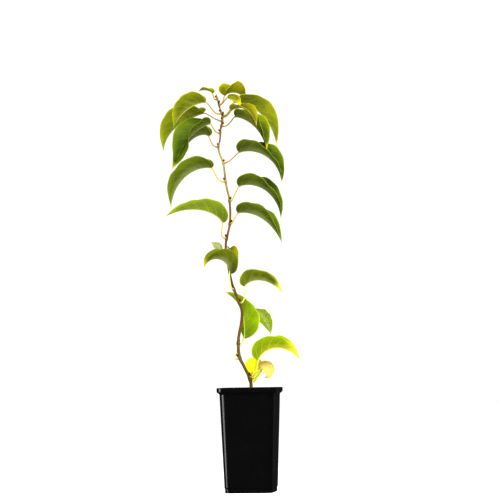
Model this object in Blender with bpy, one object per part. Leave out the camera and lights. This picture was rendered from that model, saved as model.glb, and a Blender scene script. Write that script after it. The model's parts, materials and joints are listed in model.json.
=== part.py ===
"""A young hardy kiwi vine in a tall square nursery pot, at its real size.

Metres, +Z up. The origin is the middle of the pot's flat underside. One twining stem climbs and leans to
the left, and each of its long-stalked leaves is folded along its midrib and arches over to a hanging tip.
"""

import math
from dataclasses import dataclass

import bmesh
import bpy
from mathutils import Matrix, Vector

CLEARANCE = 0.0003

# Pot: a rounded square that widens upwards, with a foot band and an overhanging lip.
POT_HEIGHT = 0.2003
POT_TURN = math.radians(-8)
POT_WALL = 0.0016
POT_FLOOR = 0.0025
CORNER_STEPS = 4
FOOT_SIDE = 0.0911
FOOT_HEIGHT = 0.010
BODY_FOOT_SIDE = 0.0938
BODY_TOP_SIDE = 0.1077
LIP_SIDE = 0.1163
LIP_HEIGHT = 0.0080
LIP_SLOPE = 0.0045
EDGE_ROUNDING = 0.0010
FOOT_CORNER = 0.0125
LIP_CORNER = 0.0165

# Compost: fills the pot to a little under the lip and rises slightly round the stem.
SOIL_TOP = 0.187
SOIL_EDGE_DROP = 0.0025
SOIL_CROWN = 0.55

# Stem: twines round its line of climb, which leans to the left.
STEM_SIDES = 8
STEM_TIP = 0.764
STEM_STEP = 0.014
STEM_FOOT_RADIUS = 0.0031
STEM_TIP_RADIUS = 0.0014
FLARE = 0.0022
FLARE_HEIGHT = 0.006
KNUCKLE = 0.0009
KNUCKLE_LENGTH = 0.0030
CLIMB_FOOT_X = -0.0062
CLIMB_LEAN = -0.0834
TWINE_DEPTH = 0.0058
# Heights at which the stem passes its line of climb, by turns behind it and in front of it.
CROSSINGS = (0.160, 0.241, 0.314, 0.376, 0.516, 0.612, 0.695, 0.751, 0.800)
# (height, offset to the right of the line of climb): each is a bend of the stem.
BENDS = (
    (0.190, 0.0090),
    (0.214, 0.0098),
    (0.240, 0.0006),
    (0.258, -0.0064),
    (0.290, -0.0060),
    (0.332, 0.0048),
    (0.350, 0.0061),
    (0.376, -0.0006),
    (0.395, -0.0062),
    (0.430, -0.0106),
    (0.475, -0.0118),
    (0.518, 0.0004),
    (0.560, 0.0039),
    (0.592, 0.0003),
    (0.632, -0.0010),
    (0.661, -0.0076),
    (0.682, -0.0022),
    (0.696, -0.0006),
    (0.722, 0.0064),
    (0.738, 0.0032),
    (0.764, -0.0014),
)

# Leaves: stalks.
PETIOLE_SIDES = 6
PETIOLE_STEPS = 7
PETIOLE_RADIUS = 0.0014
PETIOLE_END_RADIUS = 0.0011
PETIOLE_NECK = 0.14
PETIOLE_RUN_IN = 0.09

# Leaves: blades. Lengths along a blade are shares of its length, and angles are degrees.
BLADE_ROWS = 9
BLADE_COLUMNS = 2
ROW_CROWDING = 1.3
MIDRIB_SUBSTEPS = 8
BLADE_THICKNESS = 1 / 90
BLADE_WIDEST = 0.38
FOOT_ROUNDNESS = 2.3
TIP_START = 1.7
TIP_SHARPNESS = 1.35
SMALLEST_HALF_WIDTH = 0.0008
LOBE_FADE = 4
CURL = 10
WAVE = 3.5
WAVES = 1.7
FAR_SIDE_LAG = 1.3
PHASE_STEP = 0.37
DIP_LENGTH = 0.16

TONES = {
    "dark": (0.060, 0.140, 0.010),
    "green": (0.130, 0.260, 0.012),
    "light": (0.270, 0.390, 0.025),
    "lime": (0.300, 0.560, 0.005),
    "yellow": (0.850, 0.850, 0.010),
    "cream": (0.760, 0.620, 0.110),
}


@dataclass
class Leaf:
    """Driving sizes of one leaf, in metres and degrees.

    height: where the stalk leaves the stem. heading: its direction in plan, 0 is +X and 90 is +Y.
    reach, rise: from the stem's middle to the foot of the blade, across and up.
    lift, droop: the midrib's slope at the foot and at the tip. ease: under 1 bends early, over 1 late.
    fold: how far each half stands up from flat. roll, twist: the blade's turn about its midrib, at the
    foot and added by the tip. dip, dip_at: a stretch of the margin on the -Y side that hangs lower.
    lobe: how far the foot's lobes reach back, as a share of the length. leave: the direction in plan of
    the blade's foot from the stem, where it isn't the heading. spring: the direction in plan in which the
    stalk leaves the stem, where it isn't towards the foot. elbow: how far it runs that way, as a share of
    its span, before it turns up.
    """

    height: float
    heading: float
    reach: float
    rise: float
    length: float
    width: float
    lift: float
    droop: float
    ease: float = 0.8
    fold: float = 50
    roll: float = 0
    twist: float = 0
    dip: float = 0
    dip_at: float = 0.5
    lobe: float = 0.05
    leave: float | None = None
    spring: float | None = None
    elbow: float = 0.42
    tone: str = "green"


# From the lowest stalk to the highest.
LEAVES = (
    Leaf(
        0.215, 10, 0.0243, 0.022, 0.038, 0.029, 45, -170, ease=0.9, fold=5, roll=70, leave=30,
        tone="cream"
    ),
    Leaf(0.217, -80, 0.0237, 0.040, 0.050, 0.036, -62, -104, ease=0.6, fold=12, leave=72, tone="yellow"),
    Leaf(0.220, -22, 0.0195, 0.032, 0.102, 0.061, 67, -54, fold=64, lobe=0.02, leave=-28, tone="lime"),
    Leaf(
        0.257, 168, 0.0190, 0.037, 0.107, 0.074, 93, 20, ease=1.75, fold=35, roll=49, twist=-26,
        lobe=-0.04, leave=62, spring=185, tone="lime"
    ),
    Leaf(0.2855, 46, 0.0496, 0.0675, 0.087, 0.054, 3, -72, fold=8, leave=66, tone="light"),
    Leaf(
        0.362, -16, 0.012, 0.033, 0.087, 0.052, 70, -52, ease=0.5, fold=55, roll=-4, dip=-32,
        dip_at=0.12, lobe=0.16, elbow=0.3, tone="light"
    ),
    Leaf(
        0.390, 200, 0.0175, 0.028, 0.078, 0.056, 95, -72, ease=1, fold=62, roll=16, twist=-34, dip=35,
        dip_at=0.1, lobe=0, leave=246
    ),
    Leaf(0.442, 74, 0.0115, 0.025, 0.069, 0.024, 10, -78, fold=56, leave=74, tone="light"),
    Leaf(0.453, 165, 0.0095, 0.012, 0.027, 0.021, 44, 34, fold=10, roll=60, tone="light"),
    Leaf(0.487, 200, 0.0075, 0.031, 0.126, 0.067, 70, -26, ease=0.5, tone="light"),
    Leaf(
        0.516, -28, 0.018, 0.020, 0.121, 0.060, 13, -65, ease=0.7, fold=48, roll=-6, dip=-16,
        dip_at=0.45, elbow=0.1, tone="dark"
    ),
    Leaf(0.560, -18, 0.0195, 0.027, 0.122, 0.066, 23, -86, roll=-6, dip=18, elbow=0.1, tone="dark"),
    Leaf(0.597, 165, 0.028, 0.026, 0.125, 0.072, 14, -86, dip=6, lobe=0.07, leave=200, tone="dark"),
    Leaf(
        0.632, -20, 0.032, 0.020, 0.122, 0.077, 14, -86, ease=1, fold=46, dip=13, dip_at=0.58,
        tone="dark"
    ),
    Leaf(
        0.665, 166, 0.020, 0.022, 0.088, 0.060, 50, -85, ease=0.5, fold=62, lobe=0.09, leave=155,
        tone="dark"
    ),
    Leaf(
        0.692, 201, 0.020, 0.0175, 0.126, 0.067, -6, -70, ease=0.5, fold=50, roll=6, twist=-104,
        dip=-26, dip_at=0.42, tone="dark"
    ),
    Leaf(
        0.706, -24, 0.0273, 0.017, 0.101, 0.074, -9, -80, ease=0.9, fold=42, dip=-13, dip_at=0.4,
        leave=-10
    ),
    Leaf(0.714, 150, 0.0442, 0.020, 0.123, 0.086, -15, -84, ease=2.2, fold=45, leave=145),
    Leaf(
        0.723, -38, 0.0280, 0.010, 0.079, 0.040, 22, -80, ease=1, fold=36, roll=8, lobe=0.01, leave=-52,
        tone="light"
    ),
    Leaf(0.724, 28, 0.0255, 0.028, 0.136, 0.065, 5, -81, ease=0.85, tone="light"),
    Leaf(0.730, 169, 0.0381, 0.019, 0.083, 0.074, -6, -66, ease=1, leave=218, tone="light"),
    Leaf(0.745, -15, 0.0302, 0.0128, 0.036, 0.021, 20, -85, fold=10, roll=42, leave=-56, tone="light"),
    Leaf(
        0.746, 42, 0.0120, 0.018, 0.059, 0.055, 30, -45, ease=1.2, fold=55, lobe=0.1, leave=25,
        tone="light"
    ),
    Leaf(0.757, 150, 0.0103, 0.0120, 0.034, 0.024, 46, -13, ease=0.7, fold=40, lobe=0.04, tone="light"),
)


def clear_scene():
    for item in list(bpy.data.objects):
        bpy.data.objects.remove(item, do_unlink=True)


def make_material(name, colour, roughness):
    material = bpy.data.materials.new(name)
    material.use_nodes = True
    shader = material.node_tree.nodes["Principled BSDF"]
    shader.inputs["Base Color"].default_value = (*colour, 1)
    shader.inputs["Roughness"].default_value = roughness
    shader.inputs["Metallic"].default_value = 0
    return material


def add_object(name, bm, material):
    """An object made of this bmesh, with its faces turned outwards."""
    bmesh.ops.recalc_face_normals(bm, faces=bm.faces)
    mesh = bpy.data.meshes.new(name)
    bm.to_mesh(mesh)
    bm.free()
    mesh.materials.append(material)
    piece = bpy.data.objects.new(name, mesh)
    bpy.context.scene.collection.objects.link(piece)
    return piece


def loft(bm, rings):
    """Joins closed rings of equal count into a tube with a flat cap at each end."""
    made = [[bm.verts.new(point) for point in ring] for ring in rings]
    count = len(made[0])
    for low, high in zip(made, made[1:]):
        for i in range(count):
            j = (i + 1) % count
            bm.faces.new((low[i], low[j], high[j], high[i]))
    bm.faces.new(made[0])
    bm.faces.new(made[-1])


def rounded_square(side, corner, height):
    """Points of a level square with round corners, turned as the pot stands."""
    points = []
    inner = side / 2 - corner
    for quarter in range(4):
        middle = math.radians(45 + 90 * quarter)
        centre = Vector((math.cos(middle), math.sin(middle), 0)) * inner * math.sqrt(2)
        for step in range(CORNER_STEPS + 1):
            angle = math.radians(90 * quarter + 90 * step / CORNER_STEPS)
            points.append(centre + Vector((math.cos(angle), math.sin(angle), 0)) * corner)
    turn = Matrix.Rotation(POT_TURN, 3, "Z")
    return [turn @ point + Vector((0, 0, height)) for point in points]


def body_side(height):
    """Outer side of the pot's body at a height."""
    share = (height - FOOT_HEIGHT) / (POT_HEIGHT - FOOT_HEIGHT)
    return BODY_FOOT_SIDE + (BODY_TOP_SIDE - BODY_FOOT_SIDE) * share


def corner_at(height):
    return FOOT_CORNER + (LIP_CORNER - FOOT_CORNER) * height / POT_HEIGHT


def inner_side(height):
    return body_side(height) - 2 * POT_WALL


def make_pot(material):
    lip_foot = POT_HEIGHT - LIP_HEIGHT
    outer = (
        (0, FOOT_SIDE - 2 * EDGE_ROUNDING),
        (EDGE_ROUNDING, FOOT_SIDE),
        (FOOT_HEIGHT - EDGE_ROUNDING, body_side(FOOT_HEIGHT) - 2 * EDGE_ROUNDING),
        (FOOT_HEIGHT, body_side(FOOT_HEIGHT)),
        (lip_foot - LIP_SLOPE, body_side(lip_foot - LIP_SLOPE)),
        (lip_foot, LIP_SIDE - 2 * EDGE_ROUNDING),
        (lip_foot + EDGE_ROUNDING, LIP_SIDE),
        (POT_HEIGHT - EDGE_ROUNDING, LIP_SIDE),
        (POT_HEIGHT, LIP_SIDE - 2 * EDGE_ROUNDING),
    )
    inner = (
        (POT_HEIGHT, inner_side(POT_HEIGHT)),
        (POT_FLOOR, inner_side(POT_FLOOR)),
    )
    rings = [rounded_square(side, corner_at(height), height) for height, side in outer]
    rings += [rounded_square(side, corner_at(height) - POT_WALL, height) for height, side in inner]
    bm = bmesh.new()
    loft(bm, rings)
    return add_object("pot", bm, material)


def make_soil(material):
    foot = POT_FLOOR + CLEARANCE
    edge = SOIL_TOP - SOIL_EDGE_DROP
    rows = (
        (foot, inner_side(foot), 1),
        (edge, inner_side(edge), 1),
        (SOIL_TOP, inner_side(edge), SOIL_CROWN),
    )
    rings = []
    for height, side, share in rows:
        corner = corner_at(height) - POT_WALL - CLEARANCE
        rings.append(rounded_square((side - 2 * CLEARANCE) * share, corner * share, height))
    bm = bmesh.new()
    loft(bm, rings)
    return add_object("soil", bm, material)


def smooth_between(marks, height):
    """The value at a height, on a smooth curve through (height, value) marks."""
    i = 0
    while i < len(marks) - 2 and marks[i + 1][0] < height:
        i += 1
    low, high = marks[i], marks[i + 1]
    before, after = marks[max(i - 1, 0)], marks[min(i + 2, len(marks) - 1)]
    span = high[0] - low[0]
    u = (height - low[0]) / span
    low_slope = (high[1] - before[1]) / (high[0] - before[0])
    high_slope = (after[1] - low[1]) / (after[0] - low[0])
    return (
        (2 * u**3 - 3 * u**2 + 1) * low[1]
        + (u**3 - 2 * u**2 + u) * span * low_slope
        + (3 * u**2 - 2 * u**3) * high[1]
        + (u**3 - u**2) * span * high_slope
    )


def stem_point(height):
    line = CLIMB_FOOT_X + CLIMB_LEAN * (height - SOIL_TOP)
    turns = sum(crossing <= height for crossing in CROSSINGS)
    low, high = CROSSINGS[turns - 1], CROSSINGS[turns]
    deep = (-1) ** (turns - 1) * TWINE_DEPTH * math.cos(math.pi * (height - low) / (high - low))
    return Vector((line + smooth_between(BENDS, height), deep, height))


def stem_direction(height):
    step = 0.001
    return (stem_point(height + step) - stem_point(height - step)).normalized()


def stem_radius(height):
    """Tapers from foot to tip, flares at the foot and swells at each leaf's knuckle."""
    share = (height - SOIL_TOP) / (STEM_TIP - SOIL_TOP)
    radius = STEM_FOOT_RADIUS + (STEM_TIP_RADIUS - STEM_FOOT_RADIUS) * share
    radius += FLARE * math.exp(-(height - SOIL_TOP) / FLARE_HEIGHT)
    swell = max(math.exp(-(((height - leaf.height) / KNUCKLE_LENGTH) ** 2)) for leaf in LEAVES)
    return radius + KNUCKLE * swell


def stem_heights():
    """Ring heights: even steps, with more at the foot and at each knuckle."""
    foot = SOIL_TOP + CLEARANCE
    heights = [foot, foot + FLARE_HEIGHT / 2, foot + FLARE_HEIGHT]
    steps = round((STEM_TIP - foot) / STEM_STEP)
    heights += [foot + (STEM_TIP - foot) * i / steps for i in range(1, steps + 1)]
    for leaf in LEAVES:
        heights += [leaf.height + k * KNUCKLE_LENGTH for k in (-1, 0, 1)]
    spaced = []
    for height in sorted(heights):
        if height <= STEM_TIP and (not spaced or height - spaced[-1] > KNUCKLE_LENGTH / 2):
            spaced.append(height)
    return spaced


def ring_round(centre, direction, side, radius, count):
    """A circle of points about a centre, square to a direction."""
    across = (side - direction * side.dot(direction)).normalized()
    other = direction.cross(across)
    points = []
    for i in range(count):
        angle = 2 * math.pi * i / count
        points.append(centre + (across * math.cos(angle) + other * math.sin(angle)) * radius)
    return points


def make_stem(material):
    rings = []
    for height in stem_heights():
        direction = Vector((0, 0, 1)) if not rings else stem_direction(height)
        rings.append(
            ring_round(stem_point(height), direction, Vector((1, 0, 0)), stem_radius(height), STEM_SIDES)
        )
    tip = stem_point(STEM_TIP) + stem_direction(STEM_TIP) * 2 * STEM_TIP_RADIUS
    rings.append(
        ring_round(tip, stem_direction(STEM_TIP), Vector((1, 0, 0)), STEM_TIP_RADIUS / 2, STEM_SIDES)
    )
    bm = bmesh.new()
    loft(bm, rings)
    return add_object("stem", bm, material)


def outline(t):
    """The blade's width at a share of its length, as a share of the greatest: round foot, drawn-out tip."""
    if t < BLADE_WIDEST:
        return math.sqrt(1 - (1 - t / BLADE_WIDEST) ** FOOT_ROUNDNESS)
    return (1 - ((t - BLADE_WIDEST) / (1 - BLADE_WIDEST)) ** TIP_START) ** TIP_SHARPNESS


def plan_direction(degrees):
    return Vector((math.cos(math.radians(degrees)), math.sin(math.radians(degrees)), 0))


def foot_bearing(leaf):
    return leaf.heading if leaf.leave is None else leaf.leave


def blade_foot(leaf):
    out = plan_direction(foot_bearing(leaf)) * leaf.reach
    return stem_point(leaf.height) + out + Vector((0, 0, leaf.rise))


def midrib_slope(leaf, t):
    """The midrib's slope in radians at a share of its length."""
    return math.radians(leaf.lift + (leaf.droop - leaf.lift) * t**leaf.ease)


def midrib_frames(leaf, rows):
    """(share of the length, place, along, across, up) at each row of the blade, closer at its foot."""
    ahead = plan_direction(leaf.heading)
    across = Vector((-ahead.y, ahead.x, 0))
    place = blade_foot(leaf)
    frames = []
    t = 0
    for row in range(rows + 1):
        step = ((row / rows) ** ROW_CROWDING - t) / MIDRIB_SUBSTEPS
        for _ in range(MIDRIB_SUBSTEPS):
            slope = midrib_slope(leaf, t + step / 2)
            place += (ahead * math.cos(slope) + Vector((0, 0, math.sin(slope)))) * leaf.length * step
            t += step
        slope = midrib_slope(leaf, t)
        along = ahead * math.cos(slope) + Vector((0, 0, math.sin(slope)))
        turn = Matrix.Rotation(math.radians(leaf.roll + leaf.twist * t), 3, along)
        frames.append((t, place.copy(), along, turn @ across, turn @ along.cross(across)))
    return frames


def blade_point(leaf, frame, share, phase):
    """A point of the blade: share runs from -1 on one margin to 1 on the other."""
    t, place, along, across, up = frame
    out = abs(share)
    side = 1 if share >= 0 else -1
    lag = FAR_SIDE_LAG if share > 0 else 0
    angle = leaf.fold - CURL * out + WAVE * math.sin(2 * math.pi * (WAVES * t + phase) + lag) * out
    if side * across.y < 0:
        angle -= leaf.dip * math.exp(-(((t - leaf.dip_at) / DIP_LENGTH) ** 2))
    angle = math.radians(angle)
    spread = out * max(leaf.width / 2 * outline(t), SMALLEST_HALF_WIDTH)
    back = leaf.lobe * leaf.length * out * outline(t) * (1 - t) ** LOBE_FADE
    return place - along * back + across * side * spread * math.cos(angle) + up * spread * math.sin(angle)


def blade_normals(grid):
    """The blade's upward normal at each point of its grid."""
    rows, columns = len(grid), len(grid[0])
    normals = []
    for i in range(rows):
        line = []
        for j in range(columns):
            along = grid[min(i + 1, rows - 1)][j] - grid[max(i - 1, 0)][j]
            across = grid[i][min(j + 1, columns - 1)] - grid[i][max(j - 1, 0)]
            line.append(along.cross(across).normalized())
        normals.append(line)
    return normals


def make_blade(leaf, phase):
    """A closed slab over the blade's grid, as a bmesh."""
    frames = midrib_frames(leaf, BLADE_ROWS)
    shares = [j / BLADE_COLUMNS for j in range(-BLADE_COLUMNS, BLADE_COLUMNS + 1)]
    grid = [[blade_point(leaf, frame, share, phase) for share in shares] for frame in frames]
    normals = blade_normals(grid)
    half = leaf.length * BLADE_THICKNESS / 2
    bm = bmesh.new()
    top, under = [], []
    for line, facing in zip(grid, normals):
        top.append([bm.verts.new(point + normal * half) for point, normal in zip(line, facing)])
        under.append([bm.verts.new(point - normal * half) for point, normal in zip(line, facing)])
    for i in range(len(grid) - 1):
        for j in range(len(shares) - 1):
            bm.faces.new((top[i][j], top[i + 1][j], top[i + 1][j + 1], top[i][j + 1]))
            bm.faces.new((under[i][j], under[i][j + 1], under[i + 1][j + 1], under[i + 1][j]))
    rim = [(i, 0) for i in range(len(grid))]
    rim += [(len(grid) - 1, j) for j in range(1, len(shares))]
    rim += [(i, len(shares) - 1) for i in range(len(grid) - 2, -1, -1)]
    rim += [(0, j) for j in range(len(shares) - 2, 0, -1)]
    for (i, j), (k, m) in zip(rim, rim[1:] + rim[:1]):
        bm.faces.new((top[i][j], under[i][j], under[k][m], top[k][m]))
    return bm


def stalk_direction(leaf):
    """The direction in which the stalk leaves the stem, square to it."""
    direction = stem_direction(leaf.height)
    out = plan_direction(foot_bearing(leaf) if leaf.spring is None else leaf.spring)
    return (out - direction * out.dot(direction)).normalized()


def petiole_route(leaf):
    """Points down the middle of the leaf's stalk, from the stem's side to a little way along the midrib."""
    out = stalk_direction(leaf)
    start = stem_point(leaf.height) + out * (stem_radius(leaf.height) + CLEARANCE)
    frames = midrib_frames(leaf, BLADE_ROWS)
    foot, along, under = frames[0][1], frames[0][2], -frames[0][4]
    end = foot + under * PETIOLE_END_RADIUS / 2
    span = (end - start).length
    first = start + out * span * leaf.elbow
    second = end - along * span * PETIOLE_NECK
    points = []
    for i in range(PETIOLE_STEPS + 1):
        u = i / PETIOLE_STEPS
        points.append(
            start * (1 - u) ** 3 + first * 3 * u * (1 - u) ** 2 + second * 3 * u**2 * (1 - u) + end * u**3
        )
    points.append(end + along * leaf.length * PETIOLE_RUN_IN)
    return points


def make_petiole(leaf):
    """The leaf's stalk, as a bmesh."""
    points = petiole_route(leaf)
    side = Vector((0, 0, 1))
    rings = []
    for i, point in enumerate(points):
        ahead = points[min(i + 1, len(points) - 1)] - points[max(i - 1, 0)]
        if i == 0:
            ahead = stalk_direction(leaf)
        ahead.normalize()
        radius = PETIOLE_RADIUS + (PETIOLE_END_RADIUS - PETIOLE_RADIUS) * i / (len(points) - 1)
        rings.append(ring_round(point, ahead, side, radius, PETIOLE_SIDES))
        side = rings[-1][0] - point
    bm = bmesh.new()
    loft(bm, rings)
    return bm


def apply_union(piece, other):
    """Joins another object into this one and removes it."""
    joined = piece.modifiers.new("union", "BOOLEAN")
    joined.operation = "UNION"
    joined.solver = "MANIFOLD"
    joined.object = other
    bpy.context.view_layer.update()
    graph = bpy.context.evaluated_depsgraph_get()
    mesh = bpy.data.meshes.new_from_object(piece.evaluated_get(graph))
    piece.modifiers.clear()
    piece.data = mesh
    mesh.name = piece.name
    bpy.data.objects.remove(other, do_unlink=True)


def make_leaf(number, leaf, materials):
    phase = (PHASE_STEP * number) % 1
    name = f"leaf_{number:02d}"
    blade = add_object(name, make_blade(leaf, phase), materials[leaf.tone])
    petiole = add_object(name + "_petiole", make_petiole(leaf), materials[leaf.tone])
    apply_union(blade, petiole)
    return blade


def main():
    clear_scene()
    plastic = make_material("pot_plastic", (0.006, 0.006, 0.007), 0.35)
    compost = make_material("compost", (0.030, 0.020, 0.013), 0.95)
    bark = make_material("bark", (0.170, 0.070, 0.025), 0.6)
    tones = {name: make_material("leaf_" + name, colour, 0.45) for name, colour in TONES.items()}
    make_pot(plastic)
    make_soil(compost)
    make_stem(bark)
    for number, leaf in enumerate(LEAVES, 1):
        make_leaf(number, leaf, tones)


main()
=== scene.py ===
import json
import math
import random
from dataclasses import dataclass

import bpy
import numpy as np
from mathutils import Matrix, Vector

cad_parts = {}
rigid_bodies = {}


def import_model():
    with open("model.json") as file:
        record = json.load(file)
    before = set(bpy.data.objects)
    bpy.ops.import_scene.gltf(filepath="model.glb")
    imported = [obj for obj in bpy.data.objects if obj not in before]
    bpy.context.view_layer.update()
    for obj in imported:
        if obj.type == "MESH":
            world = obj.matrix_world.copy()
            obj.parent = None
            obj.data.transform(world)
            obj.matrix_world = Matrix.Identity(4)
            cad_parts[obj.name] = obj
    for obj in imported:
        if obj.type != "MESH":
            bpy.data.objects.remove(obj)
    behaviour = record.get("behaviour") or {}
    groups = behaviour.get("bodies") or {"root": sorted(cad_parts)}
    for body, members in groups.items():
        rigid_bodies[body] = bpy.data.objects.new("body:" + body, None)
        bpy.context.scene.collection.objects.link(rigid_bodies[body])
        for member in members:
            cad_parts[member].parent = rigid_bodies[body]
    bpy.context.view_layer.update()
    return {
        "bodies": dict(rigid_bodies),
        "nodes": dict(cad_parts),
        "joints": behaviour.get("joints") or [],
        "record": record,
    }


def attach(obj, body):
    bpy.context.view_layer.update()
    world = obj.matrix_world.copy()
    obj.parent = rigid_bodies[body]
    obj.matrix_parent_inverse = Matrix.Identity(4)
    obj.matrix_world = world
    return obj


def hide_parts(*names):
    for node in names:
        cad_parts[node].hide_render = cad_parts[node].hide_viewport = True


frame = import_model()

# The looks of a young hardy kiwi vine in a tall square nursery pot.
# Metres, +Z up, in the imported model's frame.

CLEARANCE = 0.0003

# Picture and camera.
PICTURE_SIDE = 500
METRES_PER_PIXEL = 0.001926
EYE = Vector((0.0045, -4.5, 0.2356))
TARGET = Vector((0.0045, 0, 0.4646))
CAMERA_ROLL = math.radians(0.9)
SENSOR = 36
FARTHEST_SEEN = 100

# Studio. The surround has one strength where it is seen, one for the light it casts, one in reflections.
FLOOR_REACH = 14.0
FLOOR_COLOUR = (0.93, 0.93, 0.93)
FLOOR_GLOW = 0.615
SURROUND_SEEN = 1.12
SURROUND_CAST = 0.42
SURROUND_MIRRORED = 0.025
# (name, place, the point it faces, (width, height), watts, whether it lights the pot alone)
LAMPS = (
    ("overhead", (0.4, -1.9, 2.3), (0, 0, 0.45), (1.4, 1.4), 175, False),
    ("left_strip", (-0.62, -0.16, 0.10), (-0.05, -0.05, 0.10), (0.20, 0.40), 4.2, True),
    ("right_panel", (0.65, 0.46, 0.12), (0.05, 0.0, 0.10), (0.30, 0.40), 0.08, True),
)

# Pot: a rounded square that widens upwards, with a foot band and an overhanging lip.
POT_HEIGHT = 0.2003
POT_TURN = Matrix.Rotation(math.radians(-8), 3, "Z")
POT_WALL = 0.0016
POT_FLOOR = 0.0025
CORNER_STEPS = 12
FOOT_SIDE = 0.0911
FOOT_HEIGHT = 0.010
BODY_FOOT_SIDE = 0.0938
BODY_TOP_SIDE = 0.1077
LIP_SIDE = 0.1163
LIP_HEIGHT = 0.0080
LIP_SLOPE = 0.0045
EDGE_ROUNDING = 0.0010
ROUNDING_STEPS = 4
ROUNDING_ROOM = 2.2
FOOT_CORNER = 0.0125
LIP_CORNER = 0.0165

# Compost: an uneven surface that sinks a little at the pot's wall.
SOIL_SEED = 11
SOIL_TOP = 0.187
SOIL_CELLS = 72
SOIL_RELIEF = 0.0016
# (size, share of the relief, shift along x, shift along y) of each set of hills and hollows.
SOIL_HILLS = (
    (0.013, 0.5, 0.3, 1.1),
    (0.0061, 0.35, 2.0, 0.4),
    (0.0027, 0.3, 1.2, 2.9),
    (0.0014, 0.2, 0.7, 0.1),
)
SOIL_GRAIN = 0.2
SOIL_EDGE_START = 0.9
SOIL_EDGE_DROP = 0.0012

# Crumbs on the compost: octahedra, each with its own size, stretch, tilt and chipped corners.
CRUMBS = 420
CRUMB_SIZES = (0.0008, 0.0026)
CRUMB_STRETCHES = ((0.7, 1.6), (0.5, 1.0), (0.4, 0.8))
CRUMB_TILT = 0.6
CRUMB_CHIPS = (0.75, 1.1)
CRUMB_RISE = 0.25
CRUMB_CORNERS = ((1, 0, 0), (-1, 0, 0), (0, 1, 0), (0, -1, 0), (0, 0, 1), (0, 0, -1))
CRUMB_FACES = ((0, 2, 4), (2, 1, 4), (1, 3, 4), (3, 0, 4), (2, 0, 5), (1, 2, 5), (3, 1, 5), (0, 3, 5))

# Stem: twines round its line of climb, which leans to the left.
# It starts a little way down in the compost.
STEM_SEED = 5
STEM_SIDES = 20
STEM_START = SOIL_TOP - 1.6 * SOIL_RELIEF
STEM_TIP = 0.764
STEM_STEP = 0.0012
STEM_FOOT_RADIUS = 0.0031
STEM_TIP_RADIUS = 0.0014
FLARE = 0.0022
FLARE_HEIGHT = 0.006
KNUCKLE = 0.0009
KNUCKLE_LENGTH = 0.0030
BARK_RIDGE = 0.00012
BARK_RIDGES = 7
WIDEST_RIDGES = 2
RIDGE_TWIST = 60
RIDGE_TWIST_STEP = 35
CLIMB_FOOT_X = -0.0062
CLIMB_LEAN = -0.0834
TWINE_DEPTH = 0.0058
# Heights at which the stem passes its line of climb, by turns behind it and in front of it.
CROSSINGS = (0.160, 0.241, 0.314, 0.376, 0.516, 0.612, 0.695, 0.751, 0.800)
# (height, offset to the right of the line of climb): each is a bend of the stem.
BENDS = (
    (0.190, 0.0090),
    (0.214, 0.0098),
    (0.240, 0.0006),
    (0.258, -0.0064),
    (0.290, -0.0060),
    (0.332, 0.0048),
    (0.350, 0.0061),
    (0.376, -0.0006),
    (0.395, -0.0062),
    (0.430, -0.0106),
    (0.475, -0.0118),
    (0.518, 0.0004),
    (0.560, 0.0039),
    (0.592, 0.0003),
    (0.632, -0.0010),
    (0.661, -0.0076),
    (0.682, -0.0022),
    (0.696, -0.0006),
    (0.722, 0.0064),
    (0.738, 0.0032),
    (0.764, -0.0014),
)

# Buds: one above each stalk, leaning out from the stem.
BUD_LENGTH = 0.0062
BUD_RADIUS = 0.0026
BUD_STEPS = 7
BUD_SIDES = 10
BUD_LEAN = 0.75
BUD_INSET = 0.6
BUD_SHOULDER = 0.25
BUD_POINT = 0.06
SMALLEST_BUD = 0.5

# Leaves: stalks.
STALK_SIDES = 12
STALK_STEPS = 28
STALK_RADIUS = 0.0014
STALK_END_RADIUS = 0.0011
STALK_NECK = 0.14
STALK_RUN_IN = 0.09
RUN_IN_ROWS = 60
RUN_IN_THINNING = 0.6
STALK_INSET = 0.5
STALK_SWELL = 0.35
STALK_SWELL_LENGTH = 0.06

# Leaves: blades. Places along a blade, and DIP_LENGTH, are shares of its length. Angles are degrees.
ROW_LENGTH = 0.0011
FEWEST_ROWS = 42
BLADE_COLUMNS = 16
COLUMN_CROWDING = 1.25
ROW_CROWDING = 1.3
MIDRIB_SUBSTEPS = 4
BLADE_THICKNESS = 0.00045
BLADE_WIDEST = 0.38
FOOT_ROUNDNESS = 2.3
TIP_START = 1.7
TIP_SHARPNESS = 1.35
SMALLEST_HALF_WIDTH = 0.0004
LOBE_FADE = 4
CURL = 10
WAVE = 3.5
WAVES = 1.7
FAR_SIDE_LAG = 1.3
PHASE_STEP = 0.37
DIP_LENGTH = 0.16
RIPPLE = 1.5
RIPPLES = 5.3
RIPPLE_PHASE = 2.3
TOOTH_ROWS = 3
TOOTH = 0.0007
TOOTH_START = 0.9
VEINS = 7
VEIN_SWEEP = 1.7
VEIN_CURVE = 1.2
VEIN_WIDTH = 0.10
VEIN_RELIEF = 0.0002
QUILT = 0.0004
QUILT_SPREAD = 0.8
MIDRIB_WIDTH = 0.0010
MIDRIB_RELIEF = 0.0007
MIDRIB_FADE = 0.75
MIDRIB_GROOVE = 0.3
FULL_RELIEF_LENGTH = 0.1

# How strongly the side veins and the midrib show on a leaf's faces, and how far the veins stand out.
VEIN_PALENESS = {"top": 0.26, "under": 0.42}
MIDRIB_PALENESS = {"top": 0.50, "under": 0.75}
VEIN_HEIGHT = {"top": -0.4, "under": 0.4}
TOP_SLOT, UNDER_SLOT, STALK_SLOT = 0, 1, 2


@dataclass
class Look:
    """Colours of one kind of leaf, in linear RGB: upper face, under face, margin, and veins and pale parts.

    depth: how much painted shade darkens it by its midrib. sheen_band: how much a painted sheen pales its
    under face along the midrib.
    """

    top: tuple
    under: tuple
    margin: tuple
    pale: tuple
    depth: float
    sheen_band: float


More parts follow.
